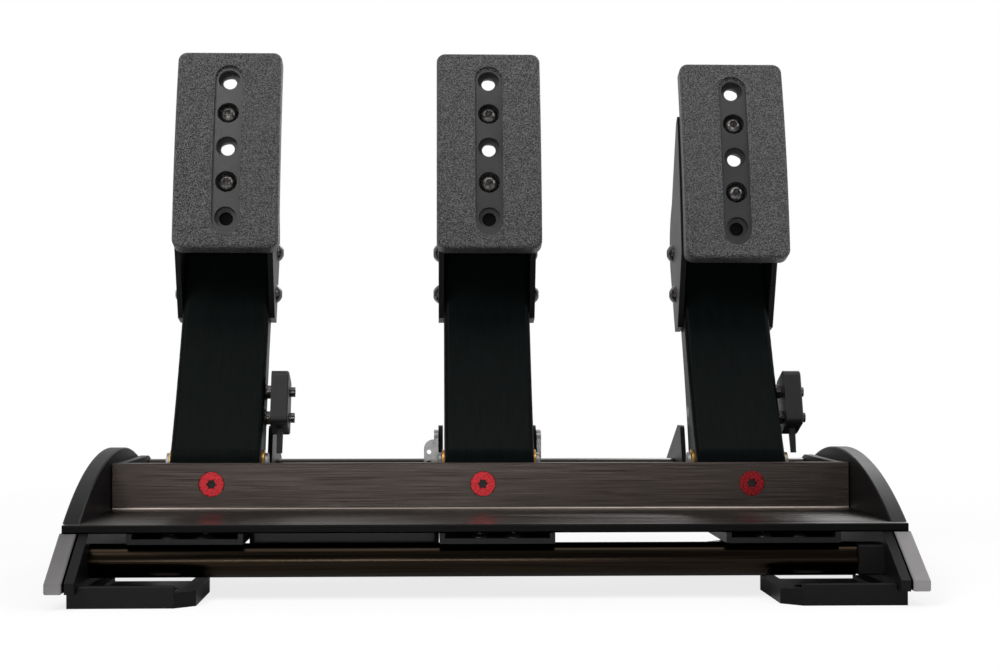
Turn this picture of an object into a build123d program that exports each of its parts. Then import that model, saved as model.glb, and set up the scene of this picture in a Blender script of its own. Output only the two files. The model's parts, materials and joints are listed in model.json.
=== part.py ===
"""Sim racing pedal set: clutch, brake and throttle on one base with a heel plate.

Millimetres. X runs to the right, Y away from the driver and Z up. The origin is on the
floor, midway along the base, in the plane of the heel plate's upright face.
"""
import os
from math import asin, atan2, cos, degrees, dist, pi, radians, sin, sqrt

from build123d import *

# Whole base
quarter_turn = 90.0
hexagon = 6
midway = 0.5
base_width = 400.0
base_height = 7.0
overrun = 2.0
seat_gap = 0.3
edge_break = 0.6

# Side cheeks and inner side plates
cheek_thickness = 8.0
cheek_tip_height = 5.0
cheek_nose_reach = 132.0
cheek_slope_rise = 21.0
cheek_slope_run = 39.2
cheek_front_radius = 274.0
cheek_rear_radius = 240.0
cheek_rear_angle = 15.0
inner_plate_thickness = 4.5
inner_plate_gap = 1.2

# Heel plate
heel_plate_thickness = 4.0
heel_ledge_height = 35.0
heel_ledge_depth = 96.0
heel_ledge_inset = 1.2
heel_face_height = 24.0
heel_face_side_gap = 0.6
heel_corner_radius = 1.6
heel_screw_spacing = 140.5
heel_screw_height = 48.0
heel_screw_head = 12.9
heel_screw_shank = 6.0
heel_screw_length = 12.0
heel_screw_socket = 5.2
heel_screw_lobe = 0.7
heel_screw_lobes = 6
heel_screw_socket_depth = 2.4
heel_bar_depth = 9.0
heel_bar_height = 11.0

# Cross tubes
tube_diameter = 16.0
tube_wall = 2.0
tube_plug_length = 36.0
front_tube_setback = 90.0
front_tube_height = 18.0
rear_tube_setback = 96.0
rear_tube_height = 48.6
tube_fit = 0.05
clamp_width = 12.0
clamp_height = 14.0
clamp_depth = 20.0

# Feet
foot_width = 57.0
foot_depth = 63.0
foot_front_reach = 126.0
foot_chamfer = 9.0
foot_lip_height = 3.0
foot_lip_width = 4.0
foot_recess_depth = 1.6
foot_recess_border = 7.0
foot_bolt_hole = 8.5
foot_bolt_inset = 15.0
foot_screw_spacing = 34.0

# Common screws
m5_head = 9.5
m5_head_height = 2.75
m5_shank = 5.0
m5_socket = 3.0
m6_head = 10.5
m6_head_height = 3.3
m6_shank = 6.0
m6_socket = 4.0
m3_head = 5.5
m3_head_height = 3.0
m3_shank = 3.0
m3_socket = 2.5
screw_clearance = 0.3
socket_depth_share = 0.55
washer_height = 1.0
low_head_height = 2.1

# Pedal places along the base: clutch, brake, throttle
clutch_place = -141.5
brake_place = 4.2
throttle_place = 139.0

# Pivot and pedal arm
pivot_setback = 40.0
pivot_height = 56.0
pivot_pin_diameter = 10.0
pivot_pin_head = 13.0
pivot_pin_head_height = 1.6
pivot_fit = 0.05
bush_barrel = 13.0
bush_flange = 16.0
bush_flange_height = 1.2
arm_width = 48.0
arm_wall = 3.0
arm_nose_radius = 15.3
arm_lean = 37.0
arm_front_radius = 550.0
arm_length = 131.5
arm_top_depth = 23.0
arm_mid_depth = 16.5
arm_mid_share = 0.55
arm_edge_radius = 3.0
arm_hollow_reach = 1200.0

# Pedal pad, measured along and behind its chord
pad_width = 58.0
pad_length = 115.0
pad_thickness = 12.0
pad_crown = 3.8
pad_corner = 5.0
pad_edge = 2.2
pad_lean = 14.4
pad_centre_setback = 65.0
pad_centre_height = 229.6
pad_slot_width = 15.4
pad_slot_length = 98.0
pad_slot_depth = 1.5
pad_hole_pitch = 20.2
pad_hole = 7.6
pad_counterbore = 12.0
pad_counterbore_depth = 4.0
pad_hole_count = 5
pad_pocket_depth = 5.0
pad_screw_length = 14.0
pad_drops = {"clutch": 0, "brake": 0, "throttle": 5.0}
pad_shifts = {"clutch": 2.0, "brake": 0.8, "throttle": 3.0}

# Pad bracket: outline shares are of the pad length (up) and the bracket depth (back)
bracket_wall = 3.0
bracket_depth = 60.0
bracket_tip_shares = ((-0.755, 0.63), (-0.75, 0.83))
bracket_rear_shares = ((-0.427, 1.0), (-0.232, 0.98), (-0.10, 0.755))
bracket_web_shares = (-0.45, 0.25)
bracket_crown_share = 0.235
bracket_screw_depth = 11.5
bracket_spare_hole = 13.0
bracket_screw_pitch = 26.0

# Pedal channel: outline of its side walls
channel_wall = 2.5
channel_arm_gap = 0.6
channel_front_reach = 98.0
channel_web_height = 26.0
channel_low_height = 31.0
channel_rise_start = 50.0
channel_top_start = 70.0
channel_top_height = 76.0
channel_top_length = 11.0
channel_rear_reach = 132.0
channel_rear_height = 55.0
channel_corner = 4.0
channel_window_width = 24.0
channel_window_length = 46.0
channel_screw_inset = 16.0

# Pivot bracket inside the arm
ear_wall = 3.0
ear_gap = 0.4
ear_radius = 11.0
ear_front_reach = 11.0
ear_rear_reach = 20.0

# Strut between the arm and the rear tube
strut_pin_reach = 34.1
strut_pin_lean = 35.3
strut_pin_diameter = 6.0
strut_eye_radius = 5.5
strut_eye_width = 10.0
strut_collar_start = 7.5
strut_collar_end = 10.5
strut_collar_radius = 10.5
sleeve_radius = 5.5
sleeve_end = 23.5
guide_radius = 3.25
guide_bore_gap = 0.75
guide_bore_start = 6.4
seat_distance = 37.0
seat_radius = 11.0
seat_thickness = 3.0
guide_tip = 17.6
saddle_radius = 11.5
saddle_width = 20.0

# Springs
spring_wire = 2.2
spring_radius = 8.1
spring_turns = 5
spring_end_gap = 0.3
spring_minimum_gap = 0.4
bumper_radius = 9.6
bumper_groove = 1.8
bumper_ring_count = 3
bumper_end_gap = 0.3
load_cell_radius = 10.5
load_cell_thickness = 6.0
load_cell_rim = 1.2

# Brake yoke
yoke_wall = 2.5
yoke_top_height = 73.6
yoke_front_reach = 62.0
yoke_length = 20.0
yoke_foot_height = 34.0
yoke_tab_width = 5.5
yoke_tab_height = 17.0
yoke_tab_hole = 2.6
yoke_corner = 5.0
yoke_hole_shares = (0.4, 0.75)

# Sensor housings on the clutch and throttle arms
sensor_gap = 3.6
sensor_width = 9.4
sensor_height = 31.0
sensor_length = 24.0
sensor_corner = 4.0
sensor_bottom_height = 74.5
sensor_setback = 40.0
sensor_tongue_length = 13.5
sensor_tongue_width = 9.0
sensor_tongue_shares = (0.33, 0.67)
sensor_lean = 20.0

# Control box under the ledge
box_width = 91.2
box_depth = 62.0
box_height = 19.0
box_centre = -68.65
box_setback = 40.0
box_corner = 3.0
box_rib_height = 0.8
box_seam_share = 0.33
socket_count = 4
socket_width = 11.6
socket_height = 9.6
socket_depth = 9.0
socket_pitch = 20.0

# Worked out from the sizes above
half_width = base_width / 2
cheek_inner = half_width - cheek_thickness
plate_outer = cheek_inner - inner_plate_gap
plate_inner = plate_outer - inner_plate_thickness
tube_radius = tube_diameter / 2
ledge_bottom = heel_ledge_height - heel_plate_thickness
arm_half = arm_width / 2
pad_half = pad_width / 2
bracket_half = arm_half + bracket_wall
wall_inner = arm_half + channel_arm_gap
wall_outer = wall_inner + channel_wall
ear_outer = arm_half - arm_wall - ear_gap
pivot = (pivot_setback, pivot_height)
web_top = channel_web_height + channel_wall

os.makedirs("parts", exist_ok=True)
nodes = {}


def slab(face, start, end):
    """Extrude a side-view face across X from start to end."""
    return extrude(Plane.YZ.offset(start) * face, amount=end - start)


def bar_x(place, radius, start, end):
    """A round bar along X through a side-view place."""
    return slab(Pos(place[0], place[1]) * Circle(radius), start, end)


def block(x_range, y_range, z_range):
    """A plain block given by its ranges."""
    size = [high - low for low, high in (x_range, y_range, z_range)]
    centre = [(high + low) / 2 for low, high in (x_range, y_range, z_range)]
    return Pos(*centre) * Box(*size)


def rod(plane, radius, start, end):
    """A round rod along a plane's normal, between two distances from the plane."""
    return extrude(plane.offset(start) * Circle(radius), amount=end - start)


def button_screw(plane, head, head_height, shank, socket, length):
    """A domed-head screw with its seat on the plane and its shank going inwards."""
    dome_radius = ((head / 2) ** 2 + head_height ** 2) / (2 * head_height)
    dome = plane.offset(head_height - dome_radius) * Sphere(dome_radius)
    body = rod(plane, head / 2, 0, head_height) & dome
    depth = head_height * socket_depth_share
    recess = extrude(
        plane.offset(head_height - depth) * RegularPolygon(socket / 2, hexagon, major_radius=False),
        amount=depth + overrun,
    )
    return body - recess + rod(plane, shank / 2, -length, 0)


def socket_screw(plane, head, head_height, shank, socket, length):
    """A cap-head screw with its seat on the plane and its shank going inwards."""
    depth = head_height * socket_depth_share
    recess = extrude(
        plane.offset(head_height - depth) * RegularPolygon(socket / 2, hexagon, major_radius=False),
        amount=depth + overrun,
    )
    return rod(plane, head / 2, 0, head_height) - recess + rod(plane, shank / 2, -length, 0)


def group(solids):
    """Separate solids kept together in one node."""
    return Compound(children=[solid for shape in solids for solid in shape.solids()])


# Base: cheeks, side plates, tubes and feet

def cheek_outline():
    """The domed side view shared by the cheeks and, lower down, the inner plates."""
    tip_top = (-cheek_nose_reach, base_height + cheek_tip_height)
    slope_top = (tip_top[0] + cheek_slope_run, tip_top[1] + cheek_slope_rise)
    slope_angle = degrees(atan2(cheek_slope_rise, cheek_slope_run))
    start = (-cheek_nose_reach, base_height)
    tip = Line(start, tip_top)
    slope = Line(tip_top, slope_top)
    front = JernArc(slope_top, slope % 1, cheek_front_radius, -slope_angle)
    rear = JernArc(front @ 1, front % 1, cheek_rear_radius, -cheek_rear_angle)
    tail_run = cheek_nose_reach - (rear @ 1).X
    tail_radius = tail_run / (1 - sin(radians(cheek_rear_angle)))
    tail = JernArc(rear @ 1, rear % 1, tail_radius, -(quarter_turn - cheek_rear_angle))
    floor_point = ((tail @ 1).X, base_height)
    drop = Line(tail @ 1, floor_point)
    return tip + slope + front + rear + tail + drop + Line(floor_point, start)


cheek_face = make_face(cheek_outline())


def make_cheek(side):
    """One outer cheek, slotted for the ledge that passes through it."""
    ends = sorted((side * cheek_inner, side * half_width))
    cheek = slab(cheek_face, *ends)
    outer_edges = cheek.faces().sort_by(Axis.X)[-1 if side > 0 else 0].outer_wire().edges()
    inner_edges = cheek.faces().sort_by(Axis.X)[0 if side > 0 else -1].outer_wire().edges()
    cheek = chamfer(outer_edges + inner_edges, edge_break)
    slot = block(
        (ends[0] - overrun, ends[1] + overrun),
        (-base_width, heel_plate_thickness),
        (ledge_bottom, heel_ledge_height),
    )
    cheek -= slot
    for place in cheek_screw_places:
        cheek -= bar_x(place, m6_shank / 2 + screw_clearance, ends[0] - overrun, ends[1] + overrun)
        cheek -= bar_x(place, m6_head / 2 + screw_clearance, *cheek_counterbore(side))
    return cheek


def cheek_counterbore(side):
    """The X range of the sunk screw seats in a cheek's outer side."""
    seat = half_width - m6_head_height - edge_break
    return sorted((side * seat, side * (half_width + overrun)))


cheek_screw_places = (
    (-front_tube_setback, front_tube_height),
    (rear_tube_setback, rear_tube_height),
    (heel_plate_thickness + heel_bar_depth / 2, heel_screw_height),
)
tube_places = cheek_screw_places[:2]
cheek_screw_tip = plate_inner - clamp_width - 2 * m6_shank


def make_inner_plate(side):
    """One inner plate: the cheek's outline, cut low in front and level behind."""
    ends = sorted((side * plate_inner, side * plate_outer))
    plate = slab(cheek_face, *ends)
    plate -= block(
        (ends[0] - overrun, ends[1] + overrun),
        (-base_width, heel_plate_thickness + seat_gap),
        (ledge_bottom, base_width),
    )
    plate -= block(
        (ends[0] - overrun, ends[1] + overrun),
        (-base_width, base_width),
        (heel_ledge_height + heel_face_height - seat_gap, base_width),
    )
    for place in tube_places:
        through_tube = side < 0 or place != tube_places[0]
        radius = tube_radius + tube_fit if through_tube else m6_shank / 2 + screw_clearance
        plate -= bar_x(place, radius, ends[0] - overrun, ends[1] + overrun)
    bar_screw = cheek_screw_places[2]
    plate -= bar_x(bar_screw, m6_shank / 2 + screw_clearance, ends[0] - overrun, ends[1] + overrun)
    return plate


for name, side in (("left", -1), ("right", 1)):
    nodes[name + "_cheek"] = make_cheek(side)
    nodes[name + "_inner_plate"] = make_inner_plate(side)


def make_tube(place, right_end):
    """A cross tube with plugged and tapped ends, let into the inner plates."""
    tube = bar_x(place, tube_radius, -plate_outer, right_end)
    bore = (tube_plug_length - plate_outer, right_end - tube_plug_length)
    tube -= bar_x(place, tube_radius - tube_wall, *bore)
    return tube


nodes["front_tube"] = make_tube(tube_places[0], plate_inner - clamp_width)
nodes["rear_tube"] = make_tube(tube_places[1], plate_outer)


def make_tube_clamp():
    """The end block between the front tube and the right inner plate."""
    y_mid, z_mid = tube_places[0]
    clamp = block(
        (plate_inner - clamp_width, plate_inner),
        (y_mid - clamp_depth / 2, y_mid + clamp_depth / 2),
        (z_mid - clamp_height / 2, z_mid + clamp_height / 2),
    )
    clamp -= bar_x(tube_places[0], m6_shank / 2 + screw_clearance, 0, plate_inner + overrun)
    rims = clamp.edges().filter_by(Axis.X)
    return chamfer(rims, edge_break)


nodes["front_tube_clamp"] = make_tube_clamp()


def make_foot(side, end):
    """A foot bracket: a plate with a raised outer lip, a sunk top and a bolt hole."""
    x_outer = plate_outer
    x_inner = x_outer - foot_width
    y_outer = foot_front_reach
    y_inner = y_outer - foot_depth
    corner = Polyline(
        (x_inner, y_inner),
        (x_inner, y_outer - foot_chamfer),
        (x_inner + foot_chamfer, y_outer),
        (x_outer, y_outer),
        (x_outer, y_inner),
        close=True,
    )
    outline = make_face(corner)
    plate = extrude(outline, amount=base_height)
    lip = block(
        (x_inner + foot_chamfer, plate_inner - seat_gap),
        (y_outer - foot_lip_width, y_outer),
        (base_height, base_height + foot_lip_height),
    )
    lip = chamfer(lip.edges().group_by(Axis.Z)[-1], edge_break)
    recess = block(
        (x_inner + foot_recess_border, plate_inner - foot_recess_border),
        (y_inner - overrun, y_outer - foot_lip_width - foot_recess_border / 2),
        (base_height - foot_recess_depth, base_height + overrun),
    )
    foot = plate + lip - recess
    foot -= Pos(*foot_bolt_place) * Cylinder(foot_bolt_hole / 2, base_width)
    foot -= Pos(foot_bolt_place[0] + foot_bolt_inset / 2, foot_bolt_place[1]) * Cylinder(
        foot_bolt_hole / 2, base_width
    )
    foot -= block(
        (foot_bolt_place[0], foot_bolt_place[0] + foot_bolt_inset / 2),
        (foot_bolt_place[1] - foot_bolt_hole / 2, foot_bolt_place[1] + foot_bolt_hole / 2),
        (-overrun, base_height + overrun),
    )
    for place in foot_screw_places:
        foot -= Pos(*place) * Cylinder(m3_shank / 2 + screw_clearance, base_width)
        foot -= extrude(
            Pos(*place) * Circle(m3_head / 2 + screw_clearance), amount=m3_head_height + seat_gap
        )
    if side < 0:
        foot = mirror(foot, about=Plane.YZ)
    if end < 0:
        foot = mirror(foot, about=Plane.XZ)
    return foot


foot_bolt_place = (
    plate_outer - foot_width + foot_bolt_inset,
    foot_front_reach - foot_depth / 2,
)
foot_screw_places = tuple(
    (plate_outer - inner_plate_thickness / 2, foot_front_reach - foot_depth / 2 + shift)
    for shift in (-foot_screw_spacing / 2, foot_screw_spacing / 2)
)

for name, side in (("left", -1), ("right", 1)):
    nodes[name + "_front_foot"] = make_foot(side, -1)
    nodes[name + "_rear_foot"] = make_foot(side, 1)

# Heel plate, its bar and its screws

def make_heel_plate():
    """The L-shaped heel plate: a ledge for the heels and an upright face."""
    face_top = heel_ledge_height + heel_face_height
    profile = Polyline(
        (-heel_ledge_depth, ledge_bottom),
        (heel_plate_thickness, ledge_bottom),
        (heel_plate_thickness, face_top),
        (0, face_top),
        (0, heel_ledge_height),
        (-heel_ledge_depth, heel_ledge_height),
        close=True,
    )
    ledge_half = half_width - heel_ledge_inset
    plate = slab(make_face(profile), -ledge_half, ledge_half)
    corner = plate.edges().filter_by(Axis.X).sort_by_distance((0, 0, heel_ledge_height))[0]
    plate = fillet(corner, heel_corner_radius)
    for side in (-1, 1):
        x_range = sorted((side * (cheek_inner - heel_face_side_gap), side * half_width))
        plate -= block(
            x_range, (-heel_corner_radius, heel_plate_thickness + overrun), (heel_ledge_height, base_width)
        )
    rims = plate.edges().filter_by(Axis.X).group_by(Axis.Z)[-1]
    rims += plate.edges().filter_by(Axis.X).group_by(Axis.Y)[0]
    plate = chamfer(rims, edge_break)
    for place in heel_screw_spots:
        plate -= heel_screw_cone(place, screw_clearance / 2)
        plate -= rod(heel_screw_plane(place), heel_screw_shank / 2 + screw_clearance, -base_width, 0)
    return plate


heel_screw_spots = tuple(step * heel_screw_spacing for step in (-1, 0, 1))


def heel_screw_plane(place):
    """The plane of a heel plate screw's top, looking towards the driver."""
    return Plane((place, 0, heel_screw_height), x_dir=(1, 0, 0), z_dir=(0, -1, 0))


def heel_screw_cone(place, gap):
    """A countersunk head of 90 degrees, grown by a gap."""
    head_depth = (heel_screw_head - heel_screw_shank) / 2
    top = heel_screw_plane(place) * Circle(heel_screw_head / 2 + gap)
    bottom = heel_screw_plane(place).offset(-head_depth) * Circle(heel_screw_shank / 2 + gap)
    return loft([bottom, top])


def make_heel_screw(place):
    """A countersunk screw with a six-point socket."""
    plane = heel_screw_plane(place)
    screw = heel_screw_cone(place, 0) + rod(plane, heel_screw_shank / 2, -heel_screw_length, -tube_wall)
    lobe_reach = heel_screw_socket / 2 - heel_screw_lobe
    recess = Circle(lobe_reach)
    recess += PolarLocations(lobe_reach, heel_screw_lobes) * Circle(heel_screw_lobe)
    return screw - extrude(plane.offset(-heel_screw_socket_depth) * recess, amount=base_height)


nodes["heel_plate"] = make_heel_plate()
nodes["heel_plate_screws"] = group(make_heel_screw(place) for place in heel_screw_spots)


def make_heel_bar():
    """The bar behind the heel plate that takes its three screws."""
    bar = block(
        (-plate_inner, plate_inner),
        (heel_plate_thickness, heel_plate_thickness + heel_bar_depth),
        (heel_screw_height - heel_bar_height / 2, heel_screw_height + heel_bar_height / 2),
    )
    for place in heel_screw_spots:
        bar -= rod(heel_screw_plane(place), heel_screw_shank / 2, -base_width, 0)
    bar_screw = cheek_screw_places[2]
    for side in (-1, 1):
        ends = sorted((side * cheek_screw_tip, side * half_width))
        bar -= bar_x(bar_screw, m6_shank / 2, *ends)
    return bar


nodes["heel_bar"] = make_heel_bar()


def make_base_screws():
    """The sunk screws that hold the cheeks to the tubes and the bar, and those of the feet."""
    screws = []
    for side in (-1, 1):
        seat = side * (half_width - m6_head_height - edge_break)
        for place in cheek_screw_places:
            plane = Plane((seat, *place), x_dir=(0, 1, 0), z_dir=(side, 0, 0))
            reach = abs(seat) - cheek_screw_tip
            screws.append(
                button_screw(plane, m6_head, m6_head_height, m6_shank, m6_socket, reach)
            )
        for end in (-1, 1):
            for place in foot_screw_places:
                spot = (side * place[0], end * place[1], m3_head_height + seat_gap)
                plane = Plane(spot, x_dir=(1, 0, 0), z_dir=(0, 0, -1))
                screws.append(
                    socket_screw(plane, m3_head, m3_head_height, m3_shank, m3_socket, base_height)
                )
    return screws


def cheek_screw_bores(place):
    """The tapped holes that the cheek screws need in a tube's ends."""
    bores = []
    for side in (-1, 1):
        ends = sorted((side * cheek_screw_tip, side * half_width))
        bores.append(bar_x(place, m6_shank / 2, *ends))
    return bores


for name, place in zip(("front_tube", "rear_tube"), tube_places):
    for bore in cheek_screw_bores(place):
        nodes[name] -= bore
for name, side in (("left", -1), ("right", 1)):
    for end in (-1, 1):
        for place in foot_screw_places:
            spot = Pos(side * place[0], end * place[1], base_height)
            nodes[name + "_inner_plate"] -= spot * Cylinder(m3_shank / 2, 2 * base_height)
nodes["base_screws"] = group(make_base_screws())


# Control box under the ledge

def make_control_box():
    """The electronics box, with ribs on its sides and a row of sockets behind."""
    x_range = (box_centre - box_width / 2, box_centre + box_width / 2)
    y_range = (-box_setback - box_depth / 2, -box_setback + box_depth / 2)
    z_range = (ledge_bottom - box_height, ledge_bottom)
    box = block(x_range, y_range, z_range)
    box = fillet(box.edges().filter_by(Axis.Z), box_corner)
    box = chamfer(box.faces().sort_by(Axis.Z)[0].edges(), edge_break)
    seam = z_range[0] + box_height * box_seam_share
    groove = block(
        (x_range[0] - overrun, x_range[1] + overrun),
        (y_range[0] - overrun, y_range[0] + box_rib_height),
        (seam, seam + box_rib_height),
    )
    box -= groove
    for index in range(socket_count):
        x_mid = box_centre + (index - (socket_count - 1) / 2) * socket_pitch
        z_mid = ledge_bottom - box_height / 2
        box -= block(
            (x_mid - socket_width / 2, x_mid + socket_width / 2),
            (y_range[1] - socket_depth, y_range[1] + overrun),
            (z_mid - socket_height / 2, z_mid + socket_height / 2),
        )
    return box


nodes["control_box"] = make_control_box()


# Pedal arm, drawn once about its pivot and shared by the three pedals

def point_from_pivot(reach, lean):
    """A side-view point at a distance from the pivot, leaning back from upright."""
    angle = radians(lean)
    return (pivot[0] + reach * sin(angle), pivot[1] + reach * cos(angle))


def polar_shift(point, along, back, lean):
    """Move a side-view point along a leaning direction and back from it."""
    angle = radians(lean)
    return (
        point[0] + along * sin(angle) + back * cos(angle),
        point[1] + along * cos(angle) - back * sin(angle),
    )


arm_turn = degrees(arm_length / arm_front_radius)
arm_foot = polar_shift(pivot, 0, -arm_nose_radius, arm_lean)
arm_centre = polar_shift(arm_foot, 0, -arm_front_radius, arm_lean)


def arm_station(share, back):
    """The side-view point at a share of the arm's length, back from its front line."""
    return polar_shift(arm_centre, 0, arm_front_radius + back, arm_lean - share * arm_turn)


def arm_front(back):
    """The curved front line of the arm, moved back by a distance."""
    return ThreePointArc(*(arm_station(share, back) for share in (0, midway, 1)))


def arm_outline():
    """The arm's side view: curved front, round nose and top, hollowed rear edge."""
    front = arm_front(0)
    top_end = arm_station(1, arm_top_depth)
    top_mid = polar_shift(
        arm_station(1, arm_top_depth / 2), arm_top_depth / 2, 0, arm_lean - arm_turn
    )
    nose_mid = polar_shift(pivot, -arm_nose_radius, 0, arm_lean)
    nose_end = polar_shift(pivot, 0, arm_nose_radius, arm_lean)
    top = ThreePointArc(front @ 1, top_mid, top_end)
    rear = ThreePointArc(top_end, arm_station(arm_mid_share, arm_mid_depth), nose_end)
    nose = ThreePointArc(nose_end, nose_mid, front @ 0)
    return front + top + rear + nose


def arm_hollow():
    """The region behind the arm's front wall, drawn far past its rear edge."""
    inner = arm_front(arm_wall)
    low = polar_shift(pivot, -base_width, arm_wall - arm_nose_radius, arm_lean)
    far_low = polar_shift(low, 0, base_width, arm_lean)
    far_high = polar_shift(far_low, arm_hollow_reach, 0, arm_lean)
    high = polar_shift(((inner @ 1).X, (inner @ 1).Y), base_width, 0, arm_lean - arm_turn)
    lines = Line(low, inner @ 0) + inner + Line(inner @ 1, high)
    return lines + Polyline(high, far_high, far_low, low)


bracket_screw_places = (
    arm_station(1 - bracket_screw_pitch / arm_length, bracket_screw_depth),
    arm_station(1, bracket_screw_depth),
)
strut_pin_place = point_from_pivot(strut_pin_reach, strut_pin_lean)


def arm_rounding(place):
    """A curved bar with rounded front corners that trims the arm's folds."""
    margin_share = arm_top_depth / arm_length
    start = arm_station(-margin_share, 0)
    lean = radians(arm_lean + margin_share * arm_turn)
    depth = arm_top_depth * 2
    section = Pos(0, depth / 2) * Rectangle(arm_width, depth)
    section = fillet(section.vertices().group_by(Axis.Y)[0], arm_edge_radius)
    plane = Plane((place, *start), x_dir=(1, 0, 0), z_dir=(0, sin(lean), cos(lean)))
    axis = Axis((place, *arm_centre), (1, 0, 0))
    return revolve(plane * section, axis=axis, revolution_arc=arm_turn * (1 + 2 * margin_share))


def make_arm(place):
    """A folded channel with a curved front wall and tapering flanges."""
    left = place - arm_half
    right = place + arm_half
    arm = slab(make_face(arm_outline()), left, right) & arm_rounding(place)
    arm -= slab(make_face(arm_hollow()), left + arm_wall, right - arm_wall)
    arm -= bar_x(pivot, bush_barrel / 2, left - overrun, right + overrun)
    arm -= bar_x(strut_pin_place, strut_pin_diameter / 2, left - overrun, right + overrun)
    for spot in bracket_screw_places:
        arm -= bar_x(spot, m6_shank / 2, left - overrun, right + overrun)
    return arm


def make_bushes(place):
    """Two flanged bronze bushes pressed into the arm's flanges from outside."""
    bushes = []
    for side in (-1, 1):
        inner = place + side * (arm_half - arm_wall)
        seat = place + side * arm_half
        outer = seat + side * bush_flange_height
        bush = bar_x(pivot, bush_barrel / 2, *sorted((inner, outer)))
        bush += bar_x(pivot, bush_flange / 2, *sorted((seat, outer)))
        bore = sorted((inner - side * overrun, outer + side * overrun))
        bushes.append(bush - bar_x(pivot, pivot_pin_diameter / 2 + pivot_fit, *bore))
    return group(bushes)


def make_pivot_pin(place):
    """The pivot pin with a low head and a snap ring at its ends."""
    inner = arm_half + bush_flange_height + seat_gap
    outer = inner + pivot_pin_head_height
    pin = bar_x(pivot, pivot_pin_diameter / 2, place - outer, place + outer)
    for side in (-1, 1):
        ends = sorted((place + side * inner, place + side * outer))
        pin += bar_x(pivot, pivot_pin_head / 2, *ends)
    return pin


# Pedal pad, drawn in the frame of its own chord

def pad_plane(place):
    """Across, up the pad's chord and out towards the driver."""
    lean = radians(pad_lean)
    return Plane(
        (place, pad_centre_setback, pad_centre_height),
        x_dir=(1, 0, 0),
        z_dir=(0, -cos(lean), sin(lean)),
    )


def pad_point(up, back):
    """A side-view point in the pad's frame."""
    lean = radians(pad_lean)
    return (
        pad_centre_setback + up * sin(lean) + back * cos(lean),
        pad_centre_height + up * cos(lean) - back * sin(lean),
    )


pad_front_radius = ((pad_length / 2) ** 2 + pad_crown ** 2) / (2 * pad_crown)
pad_centre_back = pad_front_radius - pad_crown


def pad_surface(up, depth):
    """Distance back from the chord of the pad's surface, or of a line below it."""
    return pad_centre_back - sqrt((pad_front_radius - depth) ** 2 - up ** 2)


def pad_band(top, bottom, low, high):
    """The side view between two depths below the pad's curved front."""
    mid = (low + high) / 2
    front = ThreePointArc(
        pad_point(low, pad_surface(low, top)),
        pad_point(mid, pad_surface(mid, top)),
        pad_point(high, pad_surface(high, top)),
    )
    rear = ThreePointArc(
        pad_point(high, pad_surface(high, bottom)),
        pad_point(mid, pad_surface(mid, bottom)),
        pad_point(low, pad_surface(low, bottom)),
    )
    return make_face(front + Line(front @ 1, rear @ 0) + rear + Line(rear @ 1, front @ 0))


pad_hole_rises = tuple(
    (index - (pad_hole_count - 1) / 2) * pad_hole_pitch for index in range(pad_hole_count)
)
pad_screw_rises = pad_hole_rises[1::2]


def pad_hole_plane(place, up):
    """A plane on the pad's surface, square to it, looking at the driver."""
    tilt = radians(pad_lean) + asin(up / pad_front_radius)
    y, z = pad_point(up, pad_surface(up, pad_slot_depth))
    return Plane((place, y, z), x_dir=(1, 0, 0), z_dir=(0, -cos(tilt), sin(tilt)))


def make_pad(place):
    """A crowned rubber-faced plate with rounded corners, a slot and five sunk holes."""
    half = pad_length / 2
    plane = pad_plane(place)
    outline = extrude(
        plane.offset(-pad_length) * RectangleRounded(pad_width, pad_length, pad_corner),
        amount=2 * pad_length,
    )
    reach = half + overrun
    pad = slab(
        pad_band(0, pad_thickness, -reach, reach), place - pad_half - overrun, place + pad_half + overrun
    )
    pad &= outline
    front_face = pad.faces().sort_by(Axis.Y)[0]
    pad = fillet(front_face.outer_wire().edges(), pad_edge)
    slot = extrude(
        plane.offset(-pad_length) * SlotOverall(pad_slot_length, pad_slot_width, rotation=quarter_turn),
        amount=2 * pad_length,
    )
    shallow = slab(
        pad_band(-pad_length, pad_slot_depth, -half, half), place - pad_half, place + pad_half
    )
    pad -= slot & shallow
    for up in pad_hole_rises:
        hole_plane = pad_hole_plane(place, up)
        pad -= rod(hole_plane, pad_counterbore / 2, -pad_counterbore_depth, pad_length)
        pad -= rod(hole_plane, pad_hole / 2, -pad_length, overrun)
        if up not in pad_screw_rises:
            back = hole_plane.offset(pad_slot_depth - pad_thickness)
            pad -= rod(back, pad_counterbore / 2, -pad_thickness, pad_pocket_depth)
    return pad


def make_pad_screws(place, drop):
    """The two screws in the pad's sunk holes, each with a washer below its head."""
    screws = []
    for up in pad_screw_rises:
        seat = pad_hole_plane(place, up).offset(-pad_counterbore_depth)
        washer = rod(seat, m6_head / 2 + screw_clearance, 0, washer_height)
        head = seat.offset(washer_height)
        screw = button_screw(head, m6_head, m6_head_height, m6_shank, m6_socket, pad_screw_length)
        screws.append(Pos(0, 0, -drop) * (washer + screw))
    return group(screws)


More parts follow.
